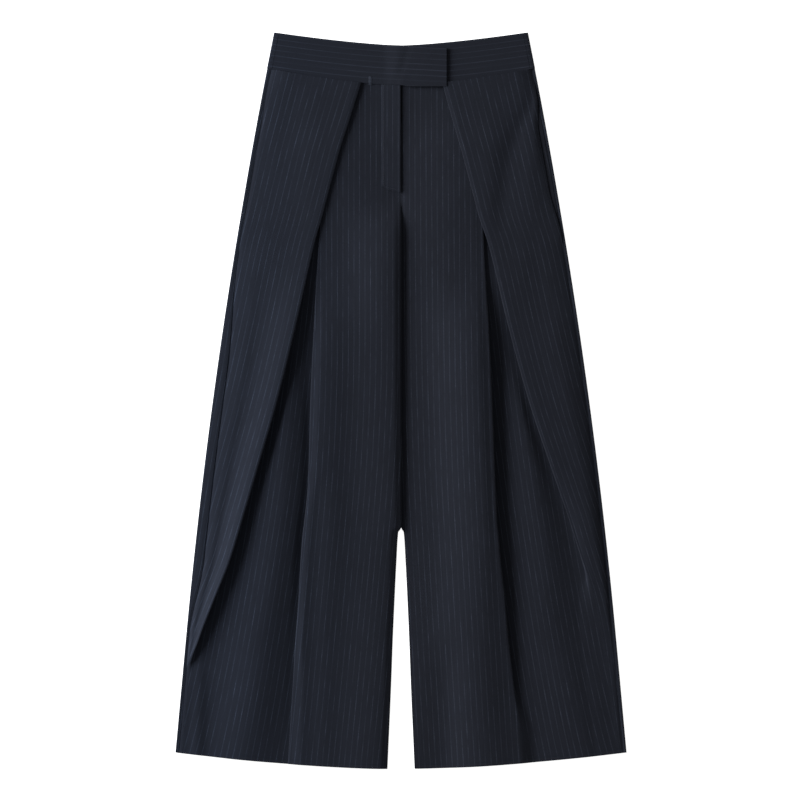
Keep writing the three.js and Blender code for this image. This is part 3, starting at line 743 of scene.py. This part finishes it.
FINE = 2
RINGS_APART = 7
DOWNS = even(SEAM_DOWN, STATIONS[-1]["down"], RINGS_APART, also=CROTCH_DOWNS)


def front_leg(leg):
    rings = []
    for down in DOWNS:
        points = front_curve(section_of(leg, down), FINE)
        rings.append([(across, bent(down, across), high, grain) for across, high, grain in points])
    return rings


def half_turn(edge, radius, low):
    """A half circle round the side, from its top down to its bottom, as (across, high)."""
    points = []
    for i in range(9):
        angle = math.radians(90 - 180 * i / 8)
        points.append((edge - radius + radius * math.cos(angle), low + radius + radius * math.sin(angle)))
    return points


def back_leg(leg):
    bend_up = (FLOOR - layer(0)) / 2
    rings = []
    for down in DOWNS:
        edge = leg_width(down)
        seam = seam_across(leg, down) + SEAM / 3
        inner = inner_edge(leg, down)
        tilt = SIDE_TILT * smooth((edge - seam) / SIDE_TILT_RUN)
        path = []
        for t in [0] + steps(6):
            high = FLOOR + tilt * (1 - t) - sunk_seam(t * (edge - bend_up - seam))
            path.append((mix(seam, edge - bend_up, t), high))
        path += half_turn(edge, bend_up, layer(0))[1:]
        for t in steps(24):
            path.append((mix(edge - bend_up, inner, t), layer(0)))
        walked, before, ring = 0.0, path[0], []
        for across, high in path:
            walked += math.hypot(across - before[0], high - before[1])
            before = (across, high)
            # the back's stripes run with the leg, and on round the side
            grain = edge * BACK_GRAIN - walked - BACK_DRIFT * down
            ring.append((across, bent(down, across), high, grain))
        rings.append(ring)
    return rings


# Waistband
BACK_BAND = BAND / 2
FRONT_BAND = BAND * 1.5 + SEAM
TAB_HIGH = OVER + CLOTH / 2 + SEAM / 3
TAB_CREASE = {"top": 11, "bottom": -7, "half": 3.2, "deep": 0.45}  # a soft bend across the tab's root


def band(columns_at, rows=10, dent=None):
    rings = []
    for t in [0] + steps(rows):
        side_down = mix(top_edge(HALF_WAIST), waist_seam(SEAM_DIP[1]), t)
        ring = []
        for x, z, start, end in columns_at(half_width(side_down)):
            start = top_edge(x) if start is None else start
            end = waist_seam(x) - SEAM / 2 if end is None else end
            down = mix(start, end, t)
            sunk = dent(x, t) if dent else 0
            ring.append((x, down, z - sunk, down - start + BAND_STRIPE))
        rings.append(ring)
    return rings


def band_back():
    bend_up = (FRONT_BAND - BACK_BAND) / 2

    def columns(edge):
        half = [(edge - BAND_WRAP + SEAM, FRONT_BAND)] + half_turn(edge, bend_up, BACK_BAND)
        flat = [(mix(-edge + bend_up, edge - bend_up, t), BACK_BAND) for t in steps(40)[:-1]]
        path = [(-x, z) for x, z in half] + flat + [(x, z) for x, z in reversed(half)]
        return [(x, z, None, None) for x, z in path]

    return band(columns)


def climb(x):
    over_band = mix(FRONT_BAND, FRONT_BAND + BAND + SEAM, smooth((x - TAB_START) / -TAB_START))
    return mix(over_band, TAB_HIGH, smooth(x / TAB_CLIMB))


def tab_dent(x, t):
    """A soft bend across the tab's root, where the band turns over the fly."""
    middle = mix(TAB_CREASE["top"], TAB_CREASE["bottom"], t)
    return TAB_CREASE["deep"] * math.exp(-((x - middle) / TAB_CREASE["half"]) ** 2)


def band_front_right():
    def columns(edge):
        start = -edge + BAND_WRAP
        xs = [mix(start, TAB_START, t) for t in [0] + steps(24)]
        xs += [mix(TAB_START, TAB_REACH, t) for t in steps(26)]
        out = []
        for x in xs:
            on_tab = x > 0
            out.append((
                x, climb(x),
                mix(top_edge(0), TAB_TOP, x / TAB_REACH) if on_tab else None,
                mix(waist_seam(0), TAB_BOTTOM, clamp(x / TAB_CORNER)) if on_tab else None,
            ))
        return out

    return band(columns, dent=tab_dent)


def band_front_left():
    def columns(edge):
        return [(mix(BAND_START, edge - BAND_WRAP, t), FRONT_BAND, None, None) for t in [0] + steps(26)]

    return band(columns)


# Fly and pockets
def fly():
    lift = CLOTH + SEAM

    def high(s, across):
        lean = FLY_LEAN * (1 - across / FLY_WIDTH)
        pressed = FLY_EDGE * math.exp(-((FLY_WIDTH - across) / FLY_EDGE_HALF) ** 2)
        return centre_high(s, across) + lift + lean - pressed

    def bottom(across):
        into_corner = max(0, across - (FLY_WIDTH - FLY_CORNER))
        corner = FLY_CORNER - math.sqrt(max(0, FLY_CORNER ** 2 - into_corner ** 2))
        return FLY_BOTTOM - FLY_SLANT * across / FLY_WIDTH - corner

    rings = []
    for t in [0] + steps(30):
        ring = []
        for share in FLY_SHARES:
            across = mix(FLY_INSET, FLY_WIDTH, share)
            down = mix(SEAM_DOWN, bottom(across), t)
            s = section_of(LEGS["right"], down)
            placed = waist_seam(across) + SEAM / 2 if t == 0 else down
            ring.append((across, placed, high(s, across), centre_grain(LEGS["right"], down, across)))
        rings.append(ring)
    return rings


def pocket_facing(leg):
    rings = []
    for t in [0] + steps(20):
        down = mix(POCKET_TOP + FACING_END, POCKET_BOTTOM - FACING_END, t)
        outer = seam_across(leg, down) - FACING_INSET
        rings.append([
            (across, bent(down, across), FLOOR, panel_grain(leg, down, across))
            for across in (mix(outer, outer - FACING_WIDTH, u) for u in [0] + steps(8))
        ])
    return rings


# Thread: short stitches along a path of (across, down, high), on the right leg. A stitch is a tube of rims,
# each at a share of its length and with a share of its thickness.
RIMS = ((0, 0.3), (0.15, 0.85), (0.5, 1), (0.85, 0.85), (1, 0.3))
RIM_SIDES = 6


def stitches(name, paths, long, apart, thick):
    verts, faces = [], []
    sides = RIM_SIDES
    for path in paths:
        lengths = [math.dist(a, b) for a, b in zip(path, path[1:])]
        at = apart / 2
        while at + long < sum(lengths):
            ends = []
            for reach in (at, at + long):
                k = 0
                while k < len(lengths) - 1 and reach > lengths[k]:
                    reach -= lengths[k]
                    k += 1
                ends.append(Vector(path[k]).lerp(Vector(path[k + 1]), reach / lengths[k]))
            along = (ends[1] - ends[0]).normalized()
            aside = along.cross(Vector((0, 0, 1))).normalized()
            up = aside.cross(along)
            first = len(verts)
            for share, swell in RIMS:
                for i in range(sides):
                    turn = 2 * math.pi * i / sides
                    rim = (aside * math.cos(turn) + up * math.sin(turn)) * thick / 2 * swell
                    across, down, high = ends[0].lerp(ends[1], share) + rim
                    verts.append((-across * MM, (LENGTH / 2 - down) * MM, high * MM))
            last = len(RIMS) - 1
            for r in range(last):
                for i in range(sides):
                    here, there = first + r * sides, first + (r + 1) * sides
                    j = (i + 1) % sides
                    faces.append((here + i, here + j, there + j, there + i))
            faces.append(tuple(first + sides - 1 - i for i in range(sides)))
            faces.append(tuple(first + last * sides + i for i in range(sides)))
            at += long + apart
    mesh = bpy.data.meshes.new(name)
    mesh.from_pydata(verts, [], faces)
    mesh.update()
    for polygon in mesh.polygons:
        polygon.use_smooth = True
    obj = bpy.data.objects.new(name, mesh)
    bpy.context.scene.collection.objects.link(obj)
    return obj


def fly_stitch_path(inset):
    """Just inside the fly's outer edge and round its foot to the centre line, on the fly's own rings."""
    rings = fly()
    down_edge = [next(p for p in ring if p[0] <= FLY_WIDTH - inset) for ring in rings[:-1]]
    foot = [p for p in rings[-1] if p[0] < FLY_WIDTH - inset]
    turn = FLY_BOTTOM - STITCH_TURN
    path = [(across, down, high + SHELL / 2) for across, down, high, _ in down_edge if down < turn]
    path += [(across, down - inset, high + SHELL / 2) for across, down, high, _ in foot]
    return path


def bar_paths():
    """The bar tack at the waistband's lower edge: short threads side by side."""
    across, top, bottom, half = BAR_TACK
    high = climb(-across) + BAND_SHELL / 2 + BAR_LIFT
    rows = round((bottom - top) / BAR_ROWS_APART)
    return [[(across + half, mix(top, bottom, t), high), (across - half, mix(top, bottom, t), high)]
            for t in [0] + steps(rows)]


# Material: dark suiting with fine pale stripes, a twill weave and a soft nap
GROUND_DARK = (0.0042, 0.0052, 0.0088)
GROUND_LIGHT = (0.0125, 0.015, 0.0243)
STRIPE_PALE = (0.06, 0.072, 0.1, 1)
STRIPE_HALF = 0.1  # share of the pitch
STRIPE_SOFT = 0.2
STRIPE_WANDER = 0.0006  # metres
STRIPE_BROKEN = (1.0, -0.18)  # the fine noise along a stripe, scaled and moved,
STRIPE_PATCHY = (3.4, -1.0)  # and the coarse one, which is at least as strong as this:
STRIPE_LEAST = 0.12
# painted light: the tint of the cloth's lit side (the wearer's right), that of its other side, and where
# across the change runs
PAINTED_LIGHT_TINT_RIGHT = (0.91, 1.03, 1.19, 1)
PAINTED_LIGHT_TINT_LEFT = (0.975, 0.975, 1.03, 1)
PAINTED_TINT_FROM = -0.22  # metres across, from the wearer's right
PAINTED_TINT_TO = 0.0
RIB_PITCH = 0.9
BUMP = (0.35, 0.00025)  # strength, and distance in metres


def suiting(name, tone=1.0, stripe=1.0):
    material = bpy.data.materials.new(name)
    material.use_nodes = True
    nodes, links = material.node_tree.nodes, material.node_tree.links
    shader = nodes["Principled BSDF"]
    shader.inputs["Roughness"].default_value = 0.9
    shader.inputs["Specular IOR Level"].default_value = 0.25
    shader.inputs["Sheen Weight"].default_value = 0.05
    shader.inputs["Sheen Roughness"].default_value = 0.45
    shader.inputs["Sheen Tint"].default_value = (0.62, 0.7, 0.85, 1)

    def node(kind, **settings):
        made = nodes.new(kind)
        for key, value in settings.items():
            setattr(made, key, value)
        return made

    plug = links.new

    def math_node(operation, a, b=None, c=None):
        made = node("ShaderNodeMath", operation=operation)
        for i, value in enumerate((a, b, c)):
            if value is None:
                continue
            if isinstance(value, (int, float)):
                made.inputs[i].default_value = value
            else:
                plug(value, made.inputs[i])
        return made.outputs[0]

    grain = node("ShaderNodeUVMap", uv_map="grain")
    split = node("ShaderNodeSeparateXYZ")
    plug(grain.outputs[0], split.inputs[0])
    u, v = split.outputs[0], split.outputs[1]

    def noise(scale_u, scale_v, detail=2.0, roughness=0.5):
        stretch = node("ShaderNodeVectorMath", operation="MULTIPLY")
        plug(grain.outputs[0], stretch.inputs[0])
        stretch.inputs[1].default_value = (scale_u, scale_v, 1)
        made = node("ShaderNodeTexNoise")
        made.inputs["Scale"].default_value = 1.0
        made.inputs["Detail"].default_value = detail
        made.inputs["Roughness"].default_value = roughness
        plug(stretch.outputs[0], made.inputs["Vector"])
        return made.outputs["Fac"]

    # the stripe: a thin line every pitch, a little uneven along its length
    wander = math_node("MULTIPLY", math_node("SUBTRACT", noise(60, 12), 0.5), STRIPE_WANDER)
    turns = math_node("DIVIDE", math_node("ADD", u, wander), STRIPE_PITCH * MM)
    off = math_node("ABSOLUTE", math_node("SUBTRACT", math_node("FRACT", turns), 0.5))
    beside = math_node("SMOOTH_MIN", math_node("DIVIDE", off, STRIPE_HALF), 1.0, STRIPE_SOFT)
    line = math_node("SUBTRACT", 1.0, beside)
    broken = math_node("MULTIPLY_ADD", noise(900, 420, 3), *STRIPE_BROKEN)
    patchy = math_node("MULTIPLY_ADD", noise(170, 38, 2), *STRIPE_PATCHY)
    uneven = math_node("MULTIPLY", math_node("MAXIMUM", patchy, STRIPE_LEAST), broken)
    strength = math_node("MULTIPLY", math_node("MAXIMUM", line, 0.0), math_node("MULTIPLY", uneven, stripe))

    # the ground: mixed fibres, fine and coarse
    fine = noise(1500, 1100, 3, 0.6)
    coarse = noise(26, 15, 3)
    streak = noise(760, 26, 2)
    shade = math_node("MULTIPLY_ADD", fine, 0.4, math_node("MULTIPLY_ADD", coarse, 0.25, 0.38))
    shade = math_node("MULTIPLY_ADD", streak, 0.6, shade)
    # painted light: the cloth is tinted bluer on the wearer's right, the side the key light comes from, and
    # greyer on the left
    place = node("ShaderNodeNewGeometry")
    place_split = node("ShaderNodeSeparateXYZ")
    plug(place.outputs["Position"], place_split.inputs[0])
    leftward = node("ShaderNodeMapRange")
    plug(place_split.outputs[0], leftward.inputs["Value"])
    leftward.inputs["From Min"].default_value = PAINTED_TINT_FROM
    leftward.inputs["From Max"].default_value = PAINTED_TINT_TO

    def mixed(share, first, second, blend="MIX"):
        """Two colours, each a socket or a value, mixed by a share."""
        made = node("ShaderNodeMix", data_type="RGBA", blend_type=blend)
        for i, value in ((0, share), (6, first), (7, second)):
            if isinstance(value, (int, float, tuple)):
                made.inputs[i].default_value = value
            else:
                plug(value, made.inputs[i])
        return made.outputs[2]

    painted_light_tint = mixed(leftward.outputs[0], PAINTED_LIGHT_TINT_RIGHT, PAINTED_LIGHT_TINT_LEFT)
    dark, light = [(*(value * tone for value in color), 1) for color in (GROUND_DARK, GROUND_LIGHT)]
    ground = mixed(math_node("SUBTRACT", shade, 0.5), dark, light)
    striped = mixed(strength, ground, STRIPE_PALE)
    plug(mixed(1.0, striped, painted_light_tint, "MULTIPLY"), shader.inputs["Base Color"])

    # the weave: twill ribs, crossed by the yarns' own unevenness
    diagonal = math_node("MULTIPLY", math_node("ADD", u, v), 2 * math.pi / (RIB_PITCH * MM))
    twill = math_node("MULTIPLY_ADD", math_node("SINE", diagonal), 0.5, 0.5)
    height = math_node("MULTIPLY_ADD", fine, 0.9, math_node("MULTIPLY", twill, 0.5))
    bump = node("ShaderNodeBump")
    bump.inputs["Strength"].default_value = BUMP[0]
    bump.inputs["Distance"].default_value = BUMP[1]
    plug(height, bump.inputs["Height"])
    plug(bump.outputs[0], shader.inputs["Normal"])
    return material


SUITING = suiting("suiting")
# a darker copy of the suiting with fainter stripes: painted shade, for the pocket facings that lie in the
# pockets' shade
SHADED_SUITING = suiting("suiting_shaded", tone=0.8, stripe=0.7)


def plain(name, color, roughness, specular=0.3):
    material = bpy.data.materials.new(name)
    material.use_nodes = True
    shader = material.node_tree.nodes["Principled BSDF"]
    shader.inputs["Base Color"].default_value = (*color, 1)
    shader.inputs["Roughness"].default_value = roughness
    shader.inputs["Specular IOR Level"].default_value = specular
    return material


THREAD_NAVY = plain("thread_navy", (0.012, 0.016, 0.028), 0.55)
THREAD_GREY = plain("thread_grey", (0.04, 0.048, 0.07), 0.55)


def finish(obj, material):
    obj.data.materials.append(material)
    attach(obj, "root")


def cloth(name, node, rings, thick=SHELL, side=-1, material=SUITING):
    """A piece of cloth on the root body, which stands for one solid."""
    obj = shell(name, rings, thick, side)
    width, length, area = cut(rings)
    finish(obj, material)
    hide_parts(node)


for leg in LEGS.values():
    name, side = leg["name"], leg["side"]
    back = "cloth_back_" + name
    cloth(back, "back_" + name, back_leg(leg), side=side)
    cloth("cloth_front_" + name, "front_" + name, front_leg(leg), side=side)
    # the pocket facings take the darker copy with painted shade
    cloth("cloth_pocket_facing_" + name, "pocket_facing_" + name, pocket_facing(leg), side=side,
          material=SHADED_SUITING)

cloth("cloth_fly", "fly_facing", fly())


def mirrored(rings):
    return [[(-x, down, z, grain) for x, down, z, grain in ring] for ring in rings]


for name, rings, rests_on in (
    ("waistband_back", band_back(), ["floor"]),
    ("waistband_front_left", band_front_left(), ["cloth_waistband_back"]),
    ("waistband_front_right", band_front_right(), ["cloth_waistband_front_left", "cloth_front_left"]),
):
    cloth("cloth_" + name, name, mirrored(rings), thick=BAND_SHELL)

fly_thread = stitches("thread_fly", [fly_stitch_path(STITCH_INSET)], STITCH_LONG, STITCH_APART, THREAD)
finish(fly_thread, THREAD_NAVY)
bar_long = 2 * BAR_TACK[3] - BAR_THREAD_SHORT
bar_thread = stitches("thread_bar_tack", bar_paths(), bar_long, BAR_THREAD_APART, BAR_THREAD)
finish(bar_thread, THREAD_GREY)

# The floor, the light and the camera
PAPER_HALF = 4  # metres
PAPER_DROP = 0.0004
floor_mesh = bpy.data.meshes.new("floor")
corners = [(x * PAPER_HALF, y * PAPER_HALF, 0) for x, y in ((-1, -1), (1, -1), (1, 1), (-1, 1))]
floor_mesh.from_pydata(corners, [], [(0, 1, 2, 3)])
floor = bpy.data.objects.new("floor", floor_mesh)
floor.location.z = -PAPER_DROP
bpy.context.scene.collection.objects.link(floor)
paper = plain("paper", (0.9, 0.9, 0.9), 0.9, specular=0.5)
glow = paper.node_tree.nodes["Principled BSDF"].inputs
glow["Emission Color"].default_value = (1, 1, 1, 1)
glow["Emission Strength"].default_value = 0.9
floor_mesh.materials.append(paper)

world = bpy.data.worlds.new("studio")
world.use_nodes = True
world.node_tree.nodes["Background"].inputs["Color"].default_value = (1, 0.985, 0.95, 1)
world.node_tree.nodes["Background"].inputs["Strength"].default_value = 0.26
bpy.context.scene.world = world

# one soft low light, from the wearer's right
KEY_PLACE = (-3.7, 1.2, 1.3)
light = bpy.data.lights.new("key", "AREA")
light.shape = "DISK"
light.size = 2.4
light.energy = 360
light.color = (0.93, 0.965, 1)
key = bpy.data.objects.new("key", light)
key.location = KEY_PLACE
key.rotation_euler = (-Vector(KEY_PLACE)).to_track_quat("-Z", "Y").to_euler()
bpy.context.scene.collection.objects.link(key)

# the camera looks straight down
CAMERA_HIGH = 7.0
SENSOR = 36
camera_data = bpy.data.cameras.new("camera")
camera_data.sensor_width = SENSOR
camera_data.lens = SENSOR * CAMERA_HIGH / (PICTURE * PIXEL * MM)
camera_data.clip_end = 50
camera = bpy.data.objects.new("camera", camera_data)
camera.location = (-PIXEL * MM, PIXEL * MM, CAMERA_HIGH)
bpy.context.scene.collection.objects.link(camera)
bpy.context.scene.camera = camera
bpy.context.scene.view_settings.view_transform = "Standard"
